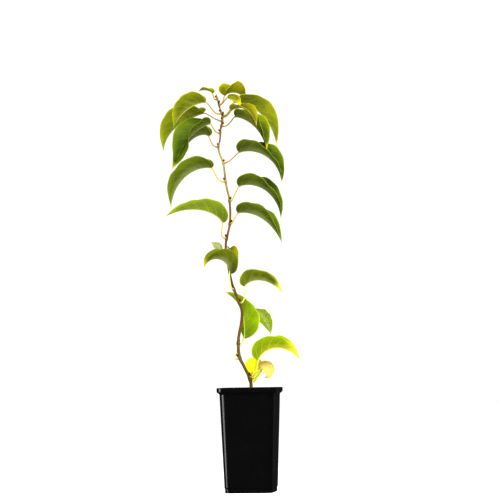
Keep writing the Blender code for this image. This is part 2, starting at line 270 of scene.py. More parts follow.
LOOKS = {
    "dark": Look(
        (0.020, 0.039, 0.0003), (0.049, 0.071, 0.002), (0.170, 0.230, 0.003), (0.170, 0.200, 0.050),
        depth=0.25, sheen_band=0.75
    ),
    "forest": Look(
        (0.023, 0.044, 0.0002), (0.049, 0.071, 0.002), (0.110, 0.150, 0.001), (0.170, 0.200, 0.050),
        depth=0.12, sheen_band=0.65
    ),
    "green": Look(
        (0.029, 0.045, 0.0003), (0.060, 0.080, 0.001), (0.250, 0.290, 0.003), (0.220, 0.240, 0.045),
        depth=0.30, sheen_band=0.60
    ),
    "olive": Look(
        (0.083, 0.087, 0.0004), (0.190, 0.190, 0.0015), (0.420, 0.400, 0.003), (0.300, 0.310, 0.040),
        depth=0.45, sheen_band=0.15
    ),
    "bronze": Look(
        (0.075, 0.071, 0.0003), (0.155, 0.145, 0.001), (0.310, 0.270, 0.002), (0.270, 0.270, 0.040),
        depth=0.40, sheen_band=0.15
    ),
    "light": Look(
        (0.090, 0.114, 0.001), (0.110, 0.134, 0.002), (0.380, 0.380, 0.008), (0.340, 0.370, 0.050),
        depth=0.45, sheen_band=0.20
    ),
    # The light look with its under face painted lighter: painted light on an under face that lies in shade.
    "light_brightened_under": Look(
        (0.090, 0.114, 0.001), (0.124, 0.158, 0.002), (0.380, 0.390, 0.008), (0.340, 0.370, 0.050),
        depth=0.40, sheen_band=0.20
    ),
    "lime": Look(
        (0.100, 0.190, 0.0004), (0.122, 0.206, 0.0004), (0.370, 0.510, 0.002), (0.320, 0.410, 0.030),
        depth=0.35, sheen_band=0.20
    ),
    "moss": Look(
        (0.040, 0.060, 0.0003), (0.042, 0.053, 0.0006), (0.150, 0.170, 0.002), (0.180, 0.190, 0.050),
        depth=0.25, sheen_band=0.60
    ),
    "meadow": Look(
        (0.064, 0.100, 0.001), (0.100, 0.146, 0.006), (0.280, 0.350, 0.010), (0.320, 0.380, 0.050),
        depth=0.40, sheen_band=0.25
    ),
    "soft": Look(
        (0.120, 0.200, 0.001), (0.240, 0.350, 0.005), (0.330, 0.440, 0.004), (0.500, 0.580, 0.150),
        depth=0.15, sheen_band=0.50
    ),
    "turning": Look(
        (0.110, 0.200, 0.0004), (0.140, 0.225, 0.0006), (0.300, 0.410, 0.002), (0.760, 0.560, 0.050),
        depth=0.10, sheen_band=0.26
    ),
    "pale": Look(
        (0.250, 0.290, 0.060), (0.310, 0.335, 0.110), (0.400, 0.430, 0.130), (0.480, 0.520, 0.230),
        depth=0.20, sheen_band=0.20
    ),
    "yellow": Look(
        (0.960, 0.930, 0.003), (0.940, 0.910, 0.004), (0.970, 0.950, 0.030), (0.960, 0.940, 0.080),
        depth=0.06, sheen_band=0.10
    ),
    "cream": Look(
        (0.820, 0.620, 0.110), (0.800, 0.580, 0.090), (0.780, 0.460, 0.030), (0.930, 0.850, 0.420),
        depth=0.15, sheen_band=0.20
    ),
}

TIPS = {
    "green": (0.200, 0.260, 0.010),
    "yellow": (0.720, 0.660, 0.020),
    "ochre": (0.430, 0.370, 0.006),
    "orange": (0.720, 0.420, 0.010),
    "brown": (0.300, 0.160, 0.050),
}

STALKS = {
    "orange": (0.340, 0.200, 0.006),
    "yellow": (0.430, 0.330, 0.010),
    "pale": (0.520, 0.530, 0.110),
}
STALK_STREAK = (0.200, 0.130, 0.010)
STALK_FOOT = (0.150, 0.066, 0.010)

# Bark colours at shares of the stem's height.
BARK_TONES = (
    (0.00, (0.170, 0.105, 0.004)),
    (0.05, (0.085, 0.050, 0.004)),
    (0.14, (0.090, 0.050, 0.004)),
    (0.30, (0.100, 0.044, 0.003)),
    (0.42, (0.095, 0.026, 0.002)),
    (0.62, (0.150, 0.056, 0.003)),
    (0.70, (0.260, 0.180, 0.006)),
    (0.80, (0.260, 0.190, 0.008)),
    (0.86, (0.150, 0.066, 0.005)),
    (1.00, (0.200, 0.115, 0.006)),
)
BARK_STREAK = (0.030, 0.014, 0.006)
BARK_SPOT = (0.280, 0.190, 0.080)

# The darker and the lighter tone of each other material.
BUD_TONES = ((0.020, 0.010, 0.002), (0.060, 0.030, 0.006))
POT_TONES = ((0.0011, 0.0011, 0.0013), (0.0032, 0.0032, 0.0036))
COMPOST_TONES = ((0.010, 0.006, 0.004), (0.050, 0.030, 0.018))
CRUMB_TONES = ((0.016, 0.009, 0.005), (0.080, 0.045, 0.024))
COMPOST_FIBRE = (0.160, 0.095, 0.045)
BLACK = (0, 0, 0)


@dataclass
class Leaf:
    """Driving sizes of one leaf, in metres and degrees.

    height: where the stalk leaves the stem. heading: its direction in plan, 0 is +X and 90 is +Y.
    reach, rise: from the stem's middle to the foot of the blade, across and up.
    lift, droop: the midrib's slope at the foot and at the tip. ease: under 1 bends early, over 1 late.
    fold: how far each half stands up from flat. roll, twist: the blade's turn about its midrib, at the
    foot and added by the tip. dip, dip_at: a stretch of the margin on the -Y side that hangs lower.
    lobe: how far the foot's lobes reach back, as a share of the length. leave: the direction in plan of
    the blade's foot from the stem, where it isn't the heading. spring: the direction in plan in which the
    stalk leaves the stem, where it isn't towards the foot. elbow: how far it runs that way, as a share of
    its span, before it turns up. look, tip, stalk: its colours. tint: the share of the length at which
    the tip's colour is half way in.
    """

    height: float
    heading: float
    reach: float
    rise: float
    length: float
    width: float
    lift: float
    droop: float
    ease: float = 0.8
    fold: float = 50
    roll: float = 0
    twist: float = 0
    dip: float = 0
    dip_at: float = 0.5
    lobe: float = 0.05
    leave: float | None = None
    spring: float | None = None
    elbow: float = 0.42
    look: str = "green"
    tip: str = "yellow"
    tint: float = 0.93
    stalk: str = "orange"


# From the lowest stalk to the highest.
LEAVES = (
    Leaf(
        0.215, 10, 0.0243, 0.022, 0.038, 0.029, 45, -170, ease=0.9, fold=5, roll=70, leave=30,
        look="cream", tip="brown", tint=0.9, stalk="pale"
    ),
    Leaf(
        0.217, -80, 0.0237, 0.040, 0.050, 0.036, -62, -104, ease=0.6, fold=12, leave=72,
        look="yellow", stalk="yellow"
    ),
    Leaf(
        0.220, -22, 0.0195, 0.032, 0.102, 0.061, 67, -54, fold=64, lobe=0.02, leave=-28,
        look="turning", tint=0.72, stalk="pale"
    ),
    Leaf(
        0.257, 168, 0.0190, 0.037, 0.107, 0.074, 93, 20, ease=1.75, fold=35, roll=49, twist=-26,
        lobe=-0.04, leave=62, spring=185, look="lime", tint=0.96, stalk="pale"
    ),
    Leaf(
        0.2855, 46, 0.0496, 0.0675, 0.087, 0.054, 3, -72, fold=8, leave=66,
        look="soft", tint=0.97, stalk="pale"
    ),
    Leaf(
        0.362, -16, 0.012, 0.033, 0.087, 0.052, 70, -52, ease=0.5, fold=55, roll=-4, dip=-32,
        dip_at=0.12, lobe=0.16, elbow=0.3, look="green", tint=0.8, stalk="pale"
    ),
    Leaf(
        0.390, 200, 0.0175, 0.028, 0.078, 0.056, 95, -72, ease=1, fold=62, roll=16, twist=-34, dip=35,
        dip_at=0.1, lobe=0, leave=246, look="moss", tip="ochre", tint=0.84, stalk="pale"
    ),
    Leaf(
        0.442, 74, 0.0115, 0.025, 0.069, 0.024, 10, -78, fold=56, leave=74,
        look="olive", tip="ochre", tint=0.85, stalk="pale"
    ),
    Leaf(
        0.453, 165, 0.0095, 0.012, 0.027, 0.021, 44, 34, fold=10, roll=60,
        look="pale", tip="green", stalk="pale"
    ),
    Leaf(
        0.487, 200, 0.0075, 0.031, 0.126, 0.067, 70, -26, ease=0.5,
        look="meadow", tip="green", tint=0.80, stalk="yellow"
    ),
    Leaf(
        0.516, -28, 0.018, 0.020, 0.121, 0.060, 13, -65, ease=0.7, fold=48, roll=-6, dip=-16,
        dip_at=0.45, elbow=0.1, look="dark", tip="green", stalk="yellow"
    ),
    Leaf(
        0.560, -18, 0.0195, 0.027, 0.122, 0.066, 23, -86, roll=-6, dip=18, elbow=0.1,
        look="dark", tip="green", stalk="yellow"
    ),
    Leaf(
        0.597, 165, 0.028, 0.026, 0.125, 0.072, 14, -86, dip=6, lobe=0.07, leave=200,
        look="dark", tip="green", stalk="yellow"
    ),
    Leaf(
        0.632, -20, 0.032, 0.020, 0.122, 0.077, 14, -86, ease=1, fold=46, dip=13, dip_at=0.58,
        look="dark", tip="orange", tint=0.96
    ),
    Leaf(
        0.665, 166, 0.020, 0.022, 0.088, 0.060, 50, -85, ease=0.5, fold=62, lobe=0.09, leave=155,
        look="dark", tint=0.9
    ),
    Leaf(
        0.692, 201, 0.020, 0.0175, 0.126, 0.067, -6, -70, ease=0.5, fold=50, roll=6, twist=-104,
        dip=-26, dip_at=0.42, look="forest", tip="ochre", tint=0.92
    ),
    Leaf(
        0.706, -24, 0.0273, 0.017, 0.101, 0.074, -9, -80, ease=0.9, fold=42, dip=-13, dip_at=0.4,
        leave=-10, look="green", tip="ochre", tint=0.9
    ),
    # Its under face lies in shade, and its look has painted light there.
    Leaf(
        0.714, 150, 0.0442, 0.020, 0.123, 0.086, -15, -84, ease=2.2, fold=45, leave=145,
        look="light_brightened_under", tip="green"
    ),
    Leaf(
        0.723, -38, 0.0280, 0.010, 0.079, 0.040, 22, -80, ease=1, fold=36, roll=8, lobe=0.01, leave=-52,
        look="bronze", tip="ochre", tint=0.93
    ),
    Leaf(
        0.724, 28, 0.0255, 0.028, 0.136, 0.065, 5, -81, ease=0.85,
        look="light", tip="orange", tint=0.95
    ),
    Leaf(
        0.730, 169, 0.0381, 0.019, 0.083, 0.074, -6, -66, ease=1, leave=218,
        look="light", tip="green"
    ),
    Leaf(
        0.745, -15, 0.0302, 0.0128, 0.036, 0.021, 20, -85, fold=10, roll=42, leave=-56,
        look="olive", tip="ochre", tint=0.7
    ),
    Leaf(
        0.746, 42, 0.0120, 0.018, 0.059, 0.055, 30, -45, ease=1.2, fold=55, lobe=0.1, leave=25,
        look="olive", tip="green"
    ),
    Leaf(
        0.757, 150, 0.0103, 0.0120, 0.034, 0.024, 46, -13, ease=0.7, fold=40, lobe=0.04,
        look="olive", tip="brown", tint=0.97
    ),
)


# Materials.


class Graph:
    """A material's node tree, with short ways to add the nodes that the looks use."""

    def __init__(self, name):
        self.material = bpy.data.materials.new(name)
        self.material.use_nodes = True
        self.tree = self.material.node_tree
        self.shader = self.tree.nodes["Principled BSDF"]

    def link(self, source, target):
        self.tree.links.new(source, target)

    def put(self, node, name, value):
        """Sets an input to a number or colour, or links it."""
        socket = node.inputs[name]
        if isinstance(value, bpy.types.NodeSocket):
            self.link(value, socket)
        elif isinstance(value, tuple) and len(value) == 3 and socket.type == "RGBA":
            socket.default_value = (*value, 1)
        else:
            socket.default_value = value

    def shade(self, **values):
        for name, value in values.items():
            self.put(self.shader, name.replace("_", " "), value)

    def math(self, operation, a, b=0.0):
        node = self.tree.nodes.new("ShaderNodeMath")
        node.operation = operation
        self.put(node, 0, a)
        self.put(node, 1, b)
        return node.outputs[0]

    def add(self, a, b):
        return self.math("ADD", a, b)

    def scale(self, value, times):
        return self.math("MULTIPLY", value, times)

    def sway(self, noise, amount):
        """A noise centred on zero, of this amount from its lowest to its highest."""
        return self.scale(self.math("SUBTRACT", noise, 0.5), amount)

    def ramp_between(self, value, low, high, from_value=0.0, to_value=1.0):
        """A smooth step from one value to another as the input goes from low to high."""
        node = self.tree.nodes.new("ShaderNodeMapRange")
        node.interpolation_type = "SMOOTHSTEP"
        self.put(node, "Value", value)
        self.put(node, "From Min", low)
        self.put(node, "From Max", high)
        self.put(node, "To Min", from_value)
        self.put(node, "To Max", to_value)
        return node.outputs["Result"]

    def mix(self, share, a, b):
        node = self.tree.nodes.new("ShaderNodeMix")
        node.data_type = "RGBA"
        node.clamp_factor = True
        self.put(node, 0, share)
        self.put(node, 6, a)
        self.put(node, 7, b)
        return node.outputs[2]

    def uv(self):
        """The two coordinates of the piece's own map."""
        source = self.tree.nodes.new("ShaderNodeUVMap")
        source.uv_map = "shape"
        split = self.tree.nodes.new("ShaderNodeSeparateXYZ")
        self.link(source.outputs["UV"], split.inputs["Vector"])
        return split.outputs["X"], split.outputs["Y"]

    def place(self, stretch=(1.0, 1.0, 1.0)):
        """The object's own coordinates, stretched."""
        source = self.tree.nodes.new("ShaderNodeTexCoord")
        mapping = self.tree.nodes.new("ShaderNodeMapping")
        mapping.inputs["Scale"].default_value = stretch
        self.link(source.outputs["Object"], mapping.inputs["Vector"])
        return mapping.outputs["Vector"]

    def noise(self, scale, detail=3.0, roughness=0.5, vector=None):
        node = self.tree.nodes.new("ShaderNodeTexNoise")
        node.inputs["Scale"].default_value = scale
        node.inputs["Detail"].default_value = detail
        node.inputs["Roughness"].default_value = roughness
        self.link(vector or self.place(), node.inputs["Vector"])
        return node.outputs["Fac"]

    def cells(self, scale, vector=None):
        """Distance to the nearest border of a net of cells."""
        node = self.tree.nodes.new("ShaderNodeTexVoronoi")
        node.feature = "DISTANCE_TO_EDGE"
        node.inputs["Scale"].default_value = scale
        self.link(vector or self.place(), node.inputs["Vector"])
        return node.outputs["Distance"]

    def bump(self, height, distance, strength=1.0):
        node = self.tree.nodes.new("ShaderNodeBump")
        node.inputs["Strength"].default_value = strength
        node.inputs["Distance"].default_value = distance
        self.link(height, node.inputs["Height"])
        self.link(node.outputs["Normal"], self.shader.inputs["Normal"])


def mixed(a, b, share):
    """A colour between two colours."""
    return tuple(x + (y - x) * share for x, y in zip(a, b))


def make_blade_material(name, face, look, tip, tint):
    """A leaf's top or under face: painted shade by its midrib and at its foot, lighter towards its margin
    (its own paler colour and painted light), a painted sheen along the under face's midrib, pale veins, a
    pale margin edge and a tinted tip.
    """
    graph = Graph(f"{name}_{face}")
    u, v = graph.uv()
    # From 0 on the midrib to 1 on the margin.
    out = graph.math("ABSOLUTE", graph.math("SUBTRACT", graph.scale(u, 2.0), 1.0))
    swept = graph.scale(graph.math("POWER", out, VEIN_CURVE), VEIN_SWEEP)
    count = graph.math("SUBTRACT", graph.scale(v, float(VEINS)), swept)
    apart = graph.math("ABSOLUTE", graph.math("SUBTRACT", graph.math("FRACT", count), 0.5))
    side_vein = graph.ramp_between(apart, 0.5 - VEIN_WIDTH / 2, 0.5)
    side_vein = graph.math("MULTIPLY", side_vein, graph.ramp_between(out, 0.95, 0.55))
    midrib = graph.ramp_between(out, 0.075, 0.02)
    net = graph.ramp_between(graph.cells(520.0), 0.0, 0.10, 1.0, 0.0)
    blotch = graph.noise(38.0, detail=4.0)
    cloud = graph.noise(17.0, detail=2.0)

    body = look.top if face == "top" else look.under
    # Painted shade: deep is the face darkened in the fold by its midrib.
    deep = mixed(body, BLACK, look.depth)
    bright = mixed(body, look.margin, 0.50)
    # From painted shade by the midrib to painted light towards the margin, where the leaf is also paler of
    # its own.
    zone = graph.add(out, graph.sway(cloud, 1.4))
    colour = graph.mix(graph.ramp_between(zone, 0.05, 0.50), deep, body)
    colour = graph.mix(graph.ramp_between(zone, 0.40, 1.05, 0.0, 0.85), colour, bright)
    # Paler blotches at random: the leaf's own tone.
    colour = graph.mix(graph.ramp_between(blotch, 0.45, 0.70, 0.0, 0.40), colour, bright)
    # Painted sheen: the under face pales along its midrib, in the pale colour.
    if face == "under":
        sheen_band = graph.ramp_between(out, 0.48, 0.10, 0.0, look.sheen_band)
        colour = graph.mix(sheen_band, colour, mixed(look.pale, body, 0.25))
    # Painted shade at the blade's foot, by the stalk.
    foot = graph.ramp_between(v, 0.36, 0.06, 0.0, 0.50)
    colour = graph.mix(foot, colour, mixed(deep, BLACK, 0.3))
    colour = graph.mix(graph.scale(side_vein, VEIN_PALENESS[face]), colour, look.pale)
    colour = graph.mix(graph.scale(net, 0.05), colour, look.pale)
    colour = graph.mix(graph.scale(midrib, MIDRIB_PALENESS[face]), colour, look.pale)
    colour = graph.mix(graph.ramp_between(out, 0.90, 0.98, 0.0, 0.9), colour, look.margin)
    reach = 0.05 + 0.4 * (1 - tint)
    along = graph.add(v, graph.sway(blotch, 0.16))
    colour = graph.mix(graph.ramp_between(along, tint - reach, min(tint + reach, 1.0)), colour, tip)
    graph.shade(Base_Color=colour)
    graph.shade(Roughness=graph.ramp_between(blotch, 0.3, 0.7, 0.46, 0.60), Specular_IOR_Level=0.03)
    relief = graph.add(graph.scale(net, 0.04), graph.scale(blotch, 0.15))
    relief = graph.add(relief, graph.scale(side_vein, VEIN_HEIGHT[face]))
    graph.bump(relief, 0.0003, 0.5)
    return graph.material


def make_stalk_material(name, colour):
    """A leaf's stalk: its colour, redder where it leaves the stem, with fine lengthwise streaks."""
    graph = Graph(name)
    _, v = graph.uv()
    streak = graph.noise(300.0, detail=2.0, vector=graph.place((1.0, 1.0, 0.25)))
    foot = graph.ramp_between(v, 0.16, 0.0, 0.0, 0.6)
    body = graph.mix(graph.scale(streak, 0.35), colour, mixed(colour, STALK_STREAK, 0.6))
    graph.shade(Base_Color=graph.mix(foot, body, STALK_FOOT))
    graph.shade(Roughness=0.50, Specular_IOR_Level=0.10)
    graph.bump(streak, 0.0002, 0.4)
    return graph.material


def make_bark_material():
    """Young bark: brown at the foot, redder above, olive-yellow and orange-brown near the tip."""
    graph = Graph("bark")
    _, v = graph.uv()
    ramp = graph.tree.nodes.new("ShaderNodeValToRGB")
    points = ramp.color_ramp.elements
    for place, _ in BARK_TONES[1:-1]:
        points.new(place)
    for point, (place, colour) in zip(points, BARK_TONES):
        point.position = place
        point.color = (*colour, 1)
    graph.link(v, ramp.inputs["Fac"])
    streak = graph.noise(420.0, detail=4.0, vector=graph.place((1.0, 1.0, 0.12)))
    dark = graph.ramp_between(streak, 0.42, 0.70, 0.0, 0.65)
    spots = graph.ramp_between(graph.noise(700.0, detail=1.0), 0.66, 0.74)
    colour = graph.mix(dark, ramp.outputs["Color"], BARK_STREAK)
    colour = graph.mix(graph.scale(spots, 0.5), colour, BARK_SPOT)
    graph.shade(Base_Color=colour)
    graph.shade(Roughness=graph.ramp_between(streak, 0.3, 0.7, 0.52, 0.70), Specular_IOR_Level=0.08)
    graph.bump(graph.add(streak, graph.scale(spots, 0.5)), 0.0004, 0.8)
    return graph.material


def make_bud_material():
    """Dark brown bud scales."""
    graph = Graph("bud")
    scales = graph.noise(900.0, detail=2.0, vector=graph.place((1.0, 1.0, 2.2)))
    graph.shade(Base_Color=graph.mix(graph.ramp_between(scales, 0.35, 0.65), *BUD_TONES))
    graph.shade(Roughness=0.62, Specular_IOR_Level=0.08)
    graph.bump(scales, 0.0003, 0.8)
    return graph.material


def make_pot_material():
    """Near-black moulded plastic with a faint grain and a few dusty scuffs."""
    graph = Graph("pot_plastic")
    grain = graph.noise(1400.0, detail=2.0)
    cloud = graph.noise(24.0, detail=5.0, roughness=0.6)
    scuff = graph.ramp_between(cloud, 0.60, 0.80, 0.0, 0.25)
    graph.shade(Base_Color=graph.mix(scuff, *POT_TONES))
    graph.shade(Roughness=graph.ramp_between(cloud, 0.3, 0.75, 0.20, 0.28), Specular_IOR_Level=0.18)
    graph.bump(grain, 0.00005, 0.08)
    return graph.material


def make_compost_material(name, tones, scale):
    """Moist compost: dark crumbs with lighter fibres."""
    graph = Graph(name)
    crumb = graph.noise(scale, detail=8.0, roughness=0.7)
    fibre = graph.noise(scale * 2.2, detail=2.0, vector=graph.place((1.0, 0.25, 1.0)))
    fibre = graph.ramp_between(fibre, 0.62, 0.70)
    colour = graph.mix(graph.ramp_between(crumb, 0.35, 0.65), *tones)
    graph.shade(Base_Color=graph.mix(graph.scale(fibre, 0.35), colour, COMPOST_FIBRE))
    graph.shade(Roughness=0.92)
    graph.bump(crumb, 0.0012, 0.9)
    return graph.material


# Meshes.


def add_piece(name, points, faces, pairs, materials, slots=None, sharp=40):
    """A smooth-shaded object from points, faces and one pair of map coordinates for each point."""
    mesh = bpy.data.meshes.new(name)
    mesh.from_pydata([tuple(map(float, point)) for point in points], [], faces)
    layer = mesh.uv_layers.new(name="shape")
    corners = np.empty(len(mesh.loops), dtype=np.int64)
    mesh.loops.foreach_get("vertex_index", corners)
    layer.data.foreach_set("uv", np.asarray(pairs, dtype=np.float64)[corners].ravel())
    for material in materials:
        mesh.materials.append(material)
    if slots is not None:
        mesh.polygons.foreach_set("material_index", slots)
    mesh.shade_smooth()
    mesh.set_sharp_from_angle(angle=math.radians(sharp))
    mesh.update()
    piece = bpy.data.objects.new(name, mesh)
    bpy.context.scene.collection.objects.link(piece)
    return piece


def place_piece(piece, slot, *nodes):
    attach(piece, "root")
    if nodes:
        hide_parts(*nodes)


def tube_faces(rings, sides, first=0):
    """Faces of a tube of rings of points, with flat ends."""
    faces = []
    for low in range(first, first + (rings - 1) * sides, sides):
        for i in range(sides):
            j = (i + 1) % sides
            faces.append((low + i, low + j, low + sides + j, low + sides + i))
    faces.append(tuple(range(first + sides - 1, first - 1, -1)))
    faces.append(tuple(range(first + (rings - 1) * sides, first + rings * sides)))
    return faces


def ring_round(centre, axes, radius, count):
    """A circle of points about a centre, in the plane of two axes."""
    across, other = axes
    angles = [math.tau * i / count for i in range(count)]
    return [centre + (across * math.cos(angle) + other * math.sin(angle)) * radius for angle in angles]


def grid_faces(rows, columns):
    """Faces between the points of a grid that is given row by row."""
    faces = []
    for i in range(rows - 1):
        for j in range(columns - 1):
            k = i * columns + j
            faces.append((k, k + columns, k + columns + 1, k + 1))
    return faces


def grid_rim(rows, columns):
    """Numbers of the points round the edge of a grid, in order."""
    last = rows - 1
    rim = [i * columns for i in range(rows)]
    rim += [last * columns + j for j in range(1, columns)]
    rim += [i * columns + columns - 1 for i in range(last - 1, -1, -1)]
    return rim + list(range(columns - 2, 0, -1))


# Pot and compost.


def rounded_square(side, corner, height):
    """Points of a level square with round corners, turned as the pot stands."""
    points = []
    inner = side / 2 - corner
    for quarter in range(4):
        middle = math.radians(45 + 90 * quarter)
        centre = Vector((math.cos(middle), math.sin(middle), 0)) * inner * math.sqrt(2)
        for step in range(CORNER_STEPS + 1):
            angle = math.radians(90 * quarter + 90 * step / CORNER_STEPS)
            points.append(centre + Vector((math.cos(angle), math.sin(angle), 0)) * corner)
    return [POT_TURN @ point + Vector((0, 0, height)) for point in points]


def body_side(height):
    """Outer side of the pot's body at a height."""
    share = (height - FOOT_HEIGHT) / (POT_HEIGHT - FOOT_HEIGHT)
    return BODY_FOOT_SIDE + (BODY_TOP_SIDE - BODY_FOOT_SIDE) * share


def corner_at(height):
    return FOOT_CORNER + (LIP_CORNER - FOOT_CORNER) * height / POT_HEIGHT


def inner_side(height):
    return body_side(height) - 2 * POT_WALL


def round_off(profile, radius):
    """The profile with each inner point replaced by a short arc."""
    rounded = [Vector(profile[0])]
    for before, here, after in zip(profile, profile[1:], profile[2:]):
        before, here, after = Vector(before), Vector(here), Vector(after)
        back = (before - here).normalized() * min(radius, (before - here).length / ROUNDING_ROOM)
        ahead = (after - here).normalized() * min(radius, (after - here).length / ROUNDING_ROOM)
        for step in range(ROUNDING_STEPS + 1):
            share = step / ROUNDING_STEPS
            rounded.append(here + back * (1 - share) ** 2 + ahead * share**2)
    rounded.append(Vector(profile[-1]))
    return rounded


def make_pot():
    lip_foot = POT_HEIGHT - LIP_HEIGHT
    profile = (
        (0, FOOT_SIDE - 6 * EDGE_ROUNDING),
        (0, FOOT_SIDE),
        (FOOT_HEIGHT - EDGE_ROUNDING, body_side(FOOT_HEIGHT) - 2 * EDGE_ROUNDING),
        (FOOT_HEIGHT, body_side(FOOT_HEIGHT)),
        (lip_foot - LIP_SLOPE, body_side(lip_foot - LIP_SLOPE)),
        (lip_foot, LIP_SIDE),
        (POT_HEIGHT, LIP_SIDE),
        (POT_HEIGHT, inner_side(POT_HEIGHT)),
        (POT_FLOOR, inner_side(POT_FLOOR)),
    )
    points = []
    pairs = []
    rows = round_off(profile, EDGE_ROUNDING)
    for row, (height, side) in enumerate(rows):
        inside = max(0.0, min(1.0, (body_side(height) - side) / (2 * POT_WALL)))
        ring = rounded_square(side, corner_at(height) - POT_WALL * inside, height)
        points += ring
        pairs += [(i / len(ring), row / len(rows)) for i in range(len(ring))]
    sides = 4 * (CORNER_STEPS + 1)
    faces = tube_faces(len(rows), sides)
    pot = add_piece("pot_shell", points, faces, pairs, [make_pot_material()], sharp=50)
    place_piece(pot, "pot_plastic", "pot")


def soil_height(x, y):
    """Height of the compost's surface: gentle hills with finer lumps."""
    height = 0.0
    for size, amount, dx, dy in SOIL_HILLS:
        height += amount * math.sin(x / size + dx) * math.sin(y / size + dy)
    return SOIL_TOP - SOIL_RELIEF + SOIL_RELIEF * height


def soil_outline():
    """Half the side, and the corner's radius, of the compost's surface."""
    return (inner_side(SOIL_TOP) - 2 * CLEARANCE) / 2, corner_at(SOIL_TOP) - POT_WALL


def soil_surface(chance):
    """The surface as (points, coordinates): a grid with its corners drawn in to the pot's rounding."""
    half, corner = soil_outline()
    points = []
    pairs = []
    for i in range(SOIL_CELLS + 1):
        for j in range(SOIL_CELLS + 1):
            x, y = (2 * i / SOIL_CELLS - 1) * half, (2 * j / SOIL_CELLS - 1) * half
            over_x, over_y = max(abs(x) - half + corner, 0), max(abs(y) - half + corner, 0)
            over = math.hypot(over_x, over_y)
            if over > corner:
                x -= math.copysign(over_x * (1 - corner / over), x)
                y -= math.copysign(over_y * (1 - corner / over), y)
            edge = max(abs(x), abs(y)) / half
            height = soil_height(x, y) + chance.uniform(-SOIL_GRAIN, SOIL_GRAIN) * SOIL_RELIEF
            height -= SOIL_EDGE_DROP * max(0.0, edge - SOIL_EDGE_START) / (1 - SOIL_EDGE_START)
            points.append(POT_TURN @ Vector((x, y, height)))
            pairs.append((i / SOIL_CELLS, j / SOIL_CELLS))
    return points, pairs


def make_soil():
    chance = random.Random(SOIL_SEED)
    points, pairs = soil_surface(chance)
    faces = grid_faces(SOIL_CELLS + 1, SOIL_CELLS + 1)
    rim = grid_rim(SOIL_CELLS + 1, SOIL_CELLS + 1)
    foot = POT_FLOOR + CLEARANCE
    shrink = inner_side(foot) / inner_side(SOIL_TOP)
    low = len(points)
    for k in rim:
        points.append(Vector((points[k].x * shrink, points[k].y * shrink, foot)))
        pairs.append(pairs[k])
    for k in range(len(rim)):
        m = (k + 1) % len(rim)
        faces.append((rim[m], rim[k], low + k, low + m))
    faces.append(tuple(low + k for k in range(len(rim) - 1, -1, -1)))
    material = make_compost_material("compost", COMPOST_TONES, scale=420.0)
    soil = add_piece("soil_surface", points, faces, pairs, [material], sharp=60)
    place_piece(soil, "compost", "soil")
    make_crumbs(chance)


def make_crumbs(chance):
    """Loose crumbs of compost and bark on the surface, joined into one piece."""
    half, corner = soil_outline()
    reach = half - corner / 2
    points = []
    faces = []
    for _ in range(CRUMBS):
        x, y = chance.uniform(-reach, reach), chance.uniform(-reach, reach)
        size = chance.uniform(*CRUMB_SIZES)
        spin = Matrix.Rotation(chance.uniform(0, math.tau), 3, "Z")
        spin = spin @ Matrix.Rotation(chance.uniform(-CRUMB_TILT, CRUMB_TILT), 3, "X")
        stretch = [chance.uniform(*limits) for limits in CRUMB_STRETCHES]
        centre = Vector((x, y, soil_height(x, y) + size * CRUMB_RISE))
        first = len(points)
        for tip in CRUMB_CORNERS:
            shaped = Vector([along * times for along, times in zip(tip, stretch)]) * size
            points.append(POT_TURN @ (centre + spin @ (shaped * chance.uniform(*CRUMB_CHIPS))))
        faces += [tuple(first + k for k in face) for face in CRUMB_FACES]
    material = make_compost_material("crumbs", CRUMB_TONES, scale=300.0)
    crumbs = add_piece("soil_crumbs", points, faces, [(p.x, p.y) for p in points], [material], sharp=25)
    place_piece(crumbs, "compost")


# Stem.


def smooth_between(marks, height):
    """The value at a height, on a smooth curve through (height, value) marks."""
    i = 0
    while i < len(marks) - 2 and marks[i + 1][0] < height:
        i += 1
    low, high = marks[i], marks[i + 1]
    before, after = marks[max(i - 1, 0)], marks[min(i + 2, len(marks) - 1)]
    span = high[0] - low[0]
    u = (height - low[0]) / span
    low_slope = (high[1] - before[1]) / (high[0] - before[0])
    high_slope = (after[1] - low[1]) / (after[0] - low[0])
    return (
        (2 * u**3 - 3 * u**2 + 1) * low[1]
        + (u**3 - 2 * u**2 + u) * span * low_slope
        + (3 * u**2 - 2 * u**3) * high[1]
        + (u**3 - u**2) * span * high_slope
    )


def stem_point(height):
    line = CLIMB_FOOT_X + CLIMB_LEAN * (height - SOIL_TOP)
    turns = sum(crossing <= height for crossing in CROSSINGS)
    low, high = CROSSINGS[turns - 1], CROSSINGS[turns]
    deep = (-1) ** (turns - 1) * TWINE_DEPTH * math.cos(math.pi * (height - low) / (high - low))
    return Vector((line + smooth_between(BENDS, height), deep, height))


def stem_direction(height):
    step = 0.001
    return (stem_point(height + step) - stem_point(height - step)).normalized()


def stem_radius(height):
    """Tapers from foot to tip, flares at the foot and swells at each leaf's knuckle."""
    share = (height - SOIL_TOP) / (STEM_TIP - SOIL_TOP)
    radius = STEM_FOOT_RADIUS + (STEM_TIP_RADIUS - STEM_FOOT_RADIUS) * share
    radius += FLARE * math.exp(-(height - SOIL_TOP) / FLARE_HEIGHT)
    swell = max(math.exp(-(((height - leaf.height) / KNUCKLE_LENGTH) ** 2)) for leaf in LEAVES)
    return radius + KNUCKLE * swell


def ring_axes(direction, side):
    """Two axes square to a direction, the first towards a side."""
    across = (side - direction * side.dot(direction)).normalized()
    return across, direction.cross(across)


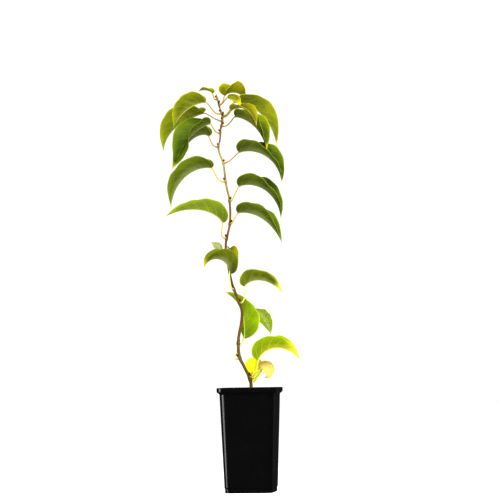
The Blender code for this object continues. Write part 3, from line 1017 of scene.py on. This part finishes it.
def make_stem():
    chance = random.Random(STEM_SEED)
    wobble = [chance.uniform(0, math.tau) for _ in range(BARK_RIDGES)]
    rings = round((STEM_TIP - STEM_START) / STEM_STEP)
    points = []
    pairs = []
    for ring in range(rings + 1):
        height = STEM_START + (STEM_TIP - STEM_START) * ring / rings
        across, other = ring_axes(stem_direction(height), Vector((1, 0, 0)))
        radius = stem_radius(max(height, SOIL_TOP))
        for i in range(STEM_SIDES):
            angle = math.tau * i / STEM_SIDES
            ridge = 0
            for k, phase in enumerate(wobble):
                twist = height * (RIDGE_TWIST + RIDGE_TWIST_STEP * k)
                ridge += math.sin((WIDEST_RIDGES + k) * angle + phase + twist)
            out = radius + BARK_RIDGE * ridge / math.sqrt(BARK_RIDGES)
            points.append(stem_point(height) + (across * math.cos(angle) + other * math.sin(angle)) * out)
            pairs.append((i / STEM_SIDES, (height - SOIL_TOP) / (STEM_TIP - SOIL_TOP)))
    end = stem_direction(STEM_TIP)
    tip = stem_point(STEM_TIP) + end * 2 * STEM_TIP_RADIUS
    points += ring_round(tip, ring_axes(end, Vector((1, 0, 0))), STEM_TIP_RADIUS / 2, STEM_SIDES)
    pairs += [(i / STEM_SIDES, 1.0) for i in range(STEM_SIDES)]
    faces = tube_faces(rings + 2, STEM_SIDES)
    stem = add_piece("stem_bark", points, faces, pairs, [make_bark_material()], sharp=70)
    place_piece(stem, "bark", "stem")
    make_buds()


def make_buds():
    """A pointed bud above each stalk, joined into one piece."""
    points = []
    faces = []
    for leaf in LEAVES:
        height = leaf.height + STALK_RADIUS + BUD_RADIUS
        out = stalk_direction(leaf)
        axis = (out * BUD_LEAN + stem_direction(height)).normalized()
        foot = stem_point(height) + out * stem_radius(height) * BUD_INSET
        axes = ring_axes(axis, out)
        size = min(1.0, SMALLEST_BUD + stem_radius(height) / (2 * STEM_FOOT_RADIUS))
        first = len(points)
        for step in range(BUD_STEPS + 1):
            share = step / BUD_STEPS
            swell = math.sin(math.pi * (BUD_SHOULDER + (1 - BUD_SHOULDER) * share))
            centre = foot + axis * BUD_LENGTH * size * share
            points += ring_round(centre, axes, size * BUD_RADIUS * (swell + BUD_POINT), BUD_SIDES)
        faces += tube_faces(BUD_STEPS + 1, BUD_SIDES, first)
    pairs = [(p.x, p.z) for p in points]
    buds = add_piece("stem_buds", points, faces, pairs, [make_bud_material()], sharp=70)
    place_piece(buds, "bark")


# Leaves.


def outline(t):
    """The blade's width at a share of its length, as a share of the greatest: round foot, drawn-out tip."""
    if t < BLADE_WIDEST:
        return math.sqrt(1 - (1 - t / BLADE_WIDEST) ** FOOT_ROUNDNESS)
    return (1 - ((t - BLADE_WIDEST) / (1 - BLADE_WIDEST)) ** TIP_START) ** TIP_SHARPNESS


def plan_direction(degrees):
    return Vector((math.cos(math.radians(degrees)), math.sin(math.radians(degrees)), 0))


def foot_bearing(leaf):
    return leaf.heading if leaf.leave is None else leaf.leave


def blade_foot(leaf):
    out = plan_direction(foot_bearing(leaf)) * leaf.reach
    return stem_point(leaf.height) + out + Vector((0, 0, leaf.rise))


def midrib_slope(leaf, t):
    """The midrib's slope in radians at a share of its length."""
    return math.radians(leaf.lift + (leaf.droop - leaf.lift) * t**leaf.ease)


def midrib_frames(leaf, rows):
    """(share of the length, place, along, across, up) at each row of the blade, closer at its foot."""
    ahead = plan_direction(leaf.heading)
    across = Vector((-ahead.y, ahead.x, 0))
    place = blade_foot(leaf)
    frames = []
    t = 0
    for row in range(rows + 1):
        step = ((row / rows) ** ROW_CROWDING - t) / MIDRIB_SUBSTEPS
        for _ in range(MIDRIB_SUBSTEPS):
            slope = midrib_slope(leaf, t + step / 2)
            place += (ahead * math.cos(slope) + Vector((0, 0, math.sin(slope)))) * leaf.length * step
            t += step
        slope = midrib_slope(leaf, t)
        along = ahead * math.cos(slope) + Vector((0, 0, math.sin(slope)))
        turn = Matrix.Rotation(math.radians(leaf.roll + leaf.twist * t), 3, along)
        frames.append((t, place.copy(), along, turn @ across, turn @ along.cross(across)))
    return frames


def vein_distance(t, out):
    """How far a point is from the nearest side vein, from 0 on it to 0.5 midway, as an array."""
    count = t * VEINS - VEIN_SWEEP * out**VEIN_CURVE
    return np.abs(count - np.round(count))


def blade_grid(leaf, phase, frames, shares):
    """Points of the blade's middle sheet, by rows and columns, and its distance from the midrib."""
    t = np.array([frame[0] for frame in frames])[:, None]
    place, along, across, up = (np.array([frame[k] for frame in frames])[:, None, :] for k in (1, 2, 3, 4))
    share = np.asarray(shares)[None, :]
    out = np.abs(share)
    side = np.where(share >= 0, 1.0, -1.0)
    lag = np.where(share > 0, FAR_SIDE_LAG, 0.0)
    angle = leaf.fold - CURL * out + WAVE * np.sin(math.tau * (WAVES * t + phase) + lag) * out
    hangs = side * across[..., 1] < 0
    angle = angle - np.where(hangs, leaf.dip * np.exp(-(((t - leaf.dip_at) / DIP_LENGTH) ** 2)), 0)
    angle = angle + RIPPLE * np.sin(math.tau * (RIPPLES * t + RIPPLE_PHASE * phase) + 2 * lag) * out**2
    angle = np.radians(angle)
    width = np.array([outline(min(value, 1.0)) for value in t[:, 0]])[:, None]
    spread = out * np.maximum(leaf.width / 2 * width, SMALLEST_HALF_WIDTH)
    saw = (np.arange(len(frames)) % TOOTH_ROWS)[:, None] / (TOOTH_ROWS - 1) - 0.5
    margin = np.clip((out - TOOTH_START) / (1 - TOOTH_START), 0, 1)
    spread = spread + TOOTH * saw * margin * np.sqrt(width)
    back = leaf.lobe * leaf.length * out * width * (1 - t) ** LOBE_FADE
    sheet = place - along * back[..., None]
    sheet = sheet + across * (side * spread * np.cos(angle))[..., None]
    return sheet + up * (spread * np.sin(angle))[..., None], spread


def sheet_normals(grid):
    """The sheet's upward unit normals."""
    along = np.gradient(grid, axis=0)
    across = np.gradient(grid, axis=1)
    normals = np.cross(along, across)
    return normals / np.maximum(np.linalg.norm(normals, axis=2, keepdims=True), 1e-12)


def make_blade(leaf, phase):
    """The blade as (points, faces, coordinates, slots): quilted between veins, toothed at its margin."""
    frames = midrib_frames(leaf, max(FEWEST_ROWS, round(leaf.length / ROW_LENGTH)))
    steps = range(-BLADE_COLUMNS, BLADE_COLUMNS + 1)
    shares = [math.copysign((abs(j) / BLADE_COLUMNS) ** COLUMN_CROWDING, j) for j in steps]
    grid, spread = blade_grid(leaf, phase, frames, shares)
    normals = sheet_normals(grid)
    t = np.array([frame[0] for frame in frames])[:, None]
    out = np.abs(np.asarray(shares))[None, :]
    apart = vein_distance(t, out)
    fade = np.sqrt(np.clip(1 - t, 0, 1)) * np.sin(math.pi * out**QUILT_SPREAD)
    scale = min(1.0, leaf.length / FULL_RELIEF_LENGTH)
    grid = grid + normals * (QUILT * scale * fade * (0.5 - (1 - 2 * apart) ** 2))[..., None]
    half = BLADE_THICKNESS / 2
    vein = VEIN_RELIEF * np.exp(-((apart / VEIN_WIDTH) ** 2)) * (1 - out)
    rib = MIDRIB_RELIEF * np.exp(-((spread / MIDRIB_WIDTH) ** 2)) * (1 - MIDRIB_FADE * t)
    top = grid + normals * (half - MIDRIB_GROOVE * scale * rib)[..., None]
    under = grid - normals * (half + scale * (vein + rib))[..., None]
    points = np.concatenate([top.reshape(-1, 3), under.reshape(-1, 3)])
    pairs = [((share + 1) / 2, frame[0]) for frame in frames for share in shares]
    lower = len(pairs)
    faces = grid_faces(len(frames), len(shares))
    rim = grid_rim(len(frames), len(shares))
    slots = [TOP_SLOT] * len(faces) + [UNDER_SLOT] * len(faces) + [TOP_SLOT] * len(rim)
    faces += [(lower + a, lower + d, lower + c, lower + b) for a, b, c, d in faces]
    for here, there in zip(rim, rim[1:] + rim[:1]):
        faces.append((here, lower + here, lower + there, there))
    return points, faces, pairs + pairs, slots


def stalk_direction(leaf):
    """The direction in which the stalk leaves the stem, square to it."""
    direction = stem_direction(leaf.height)
    out = plan_direction(foot_bearing(leaf) if leaf.spring is None else leaf.spring)
    return (out - direction * out.dot(direction)).normalized()


def stalk_route(leaf):
    """Points down the middle of the leaf's stalk, from the stem's side to a little way along the midrib."""
    out = stalk_direction(leaf)
    start = stem_point(leaf.height) + out * (stem_radius(leaf.height) + CLEARANCE)
    frames = midrib_frames(leaf, 1)
    foot, along, under = frames[0][1], frames[0][2], -frames[0][4]
    end = foot + under * STALK_END_RADIUS / 2
    span = (end - start).length
    first = start + out * span * leaf.elbow
    second = end - along * span * STALK_NECK
    points = [start - out * stem_radius(leaf.height) * STALK_INSET]
    for i in range(STALK_STEPS + 1):
        u = i / STALK_STEPS
        points.append(
            start * (1 - u) ** 3 + first * 3 * u * (1 - u) ** 2 + second * 3 * u**2 * (1 - u) + end * u**3
        )
    return points


def make_stalk(leaf):
    """The stalk as (points, faces, coordinates): swollen by the stem, and thinning along the midrib."""
    route = stalk_route(leaf)
    for t, place, _, _, up in midrib_frames(leaf, RUN_IN_ROWS):
        if 0 < t < STALK_RUN_IN:
            route.append(place - up * STALK_END_RADIUS / 2)
    side = Vector((0, 0, 1))
    points = []
    pairs = []
    for i, point in enumerate(route):
        ahead = route[min(i + 1, len(route) - 1)] - route[max(i - 1, 0)]
        axes = ring_axes(ahead.normalized(), side)
        side = axes[0]
        share = i / (len(route) - 1)
        run_in = max(0, i - STALK_STEPS - 1) / max(1, len(route) - STALK_STEPS - 2)
        radius = STALK_RADIUS + (STALK_END_RADIUS - STALK_RADIUS) * share
        radius *= 1 + STALK_SWELL * math.exp(-((share / STALK_SWELL_LENGTH) ** 2))
        radius *= 1 - RUN_IN_THINNING * run_in
        points += ring_round(point, axes, radius, STALK_SIDES)
        pairs += [(k / STALK_SIDES, share) for k in range(STALK_SIDES)]
    return np.array(points), tube_faces(len(route), STALK_SIDES), pairs


def slot_of(node):
    """The material slot that the record gives a node."""
    return next(part["material_slot"] for part in frame["record"]["subparts"] if part["node"] == node)


def make_leaf(number, leaf):
    """A leaf's blade and stalk as one piece."""
    name = f"kiwi_leaf_{number:02d}"
    look, tip = LOOKS[leaf.look], TIPS[leaf.tip]
    materials = [make_blade_material(name, face, look, tip, leaf.tint) for face in ("top", "under")]
    materials.append(make_stalk_material(name + "_stalk", STALKS[leaf.stalk]))
    points, faces, pairs, slots = make_blade(leaf, (PHASE_STEP * number) % 1)
    stalk_points, stalk_faces, stalk_pairs = make_stalk(leaf)
    faces += [tuple(len(points) + k for k in face) for face in stalk_faces]
    slots += [STALK_SLOT] * len(stalk_faces)
    points = np.concatenate([points, stalk_points])
    piece = add_piece(name, points, faces, pairs + stalk_pairs, materials, slots, sharp=75)
    node = f"leaf_{number:02d}"
    place_piece(piece, slot_of(node), node)


# Studio.


def make_floor():
    """A plain pale floor, lit a little from within so that it is as white far off as it is near."""
    graph = Graph("floor")
    graph.shade(Base_Color=FLOOR_COLOUR, Roughness=0.9, Specular_IOR_Level=0.0)
    graph.shade(Emission_Color=(1.0, 1.0, 1.0), Emission_Strength=FLOOR_GLOW)
    pairs = ((0, 0), (1, 0), (1, 1), (0, 1))
    corners = [((2 * u - 1) * FLOOR_REACH, (2 * v - 1) * FLOOR_REACH, 0) for u, v in pairs]
    floor = add_piece("floor", corners, [(0, 1, 2, 3)], pairs, [graph.material])
    floor.visible_glossy = False


def make_world():
    """A white surround with its own strength as light, in reflections and where the camera sees it."""
    world = bpy.data.worlds.new("studio")
    world.use_nodes = True
    tree = world.node_tree
    background = tree.nodes["Background"]
    background.inputs["Color"].default_value = (1, 1, 1, 1)
    ray = tree.nodes.new("ShaderNodeLightPath")
    reflected = tree.nodes.new("ShaderNodeMix")
    reflected.inputs["A"].default_value = SURROUND_CAST
    reflected.inputs["B"].default_value = SURROUND_MIRRORED
    tree.links.new(ray.outputs["Is Glossy Ray"], reflected.inputs["Factor"])
    seen = tree.nodes.new("ShaderNodeMix")
    seen.inputs["B"].default_value = SURROUND_SEEN
    tree.links.new(reflected.outputs["Result"], seen.inputs["A"])
    tree.links.new(ray.outputs["Is Camera Ray"], seen.inputs["Factor"])
    tree.links.new(seen.outputs["Result"], background.inputs["Strength"])
    bpy.context.scene.world = world


def add_lamp(name, place, aim, size, watts, pot_only):
    """A rectangular lamp that faces a point and that the camera doesn't see."""
    lamp = bpy.data.lights.new(name, "AREA")
    lamp.shape = "RECTANGLE"
    lamp.size, lamp.size_y = size
    lamp.energy = watts
    holder = bpy.data.objects.new(name, lamp)
    holder.location = place
    holder.rotation_euler = (Vector(aim) - Vector(place)).to_track_quat("-Z", "Y").to_euler()
    holder.visible_camera = False
    bpy.context.scene.collection.objects.link(holder)
    if pot_only:
        lit = bpy.data.collections.new(name + "_lit")
        lit.objects.link(bpy.data.objects["pot_shell"])
        holder.light_linking.receiver_collection = lit


def make_camera():
    camera = bpy.data.cameras.new("camera")
    camera.sensor_width = SENSOR
    camera.lens = (TARGET - EYE).length / (METRES_PER_PIXEL * PICTURE_SIDE) * SENSOR
    camera.clip_end = FARTHEST_SEEN
    holder = bpy.data.objects.new("camera", camera)
    holder.location = EYE
    aim = (TARGET - EYE).to_track_quat("-Z", "Y").to_matrix()
    holder.rotation_euler = (aim @ Matrix.Rotation(-CAMERA_ROLL, 3, "Z")).to_euler()
    bpy.context.scene.collection.objects.link(holder)
    bpy.context.scene.camera = holder


def main():
    make_pot()
    make_soil()
    make_stem()
    for number, leaf in enumerate(LEAVES, 1):
        make_leaf(number, leaf)
    make_floor()
    make_world()
    for lamp in LAMPS:
        add_lamp(*lamp)
    make_camera()
    bpy.context.scene.view_settings.view_transform = "Standard"


main()
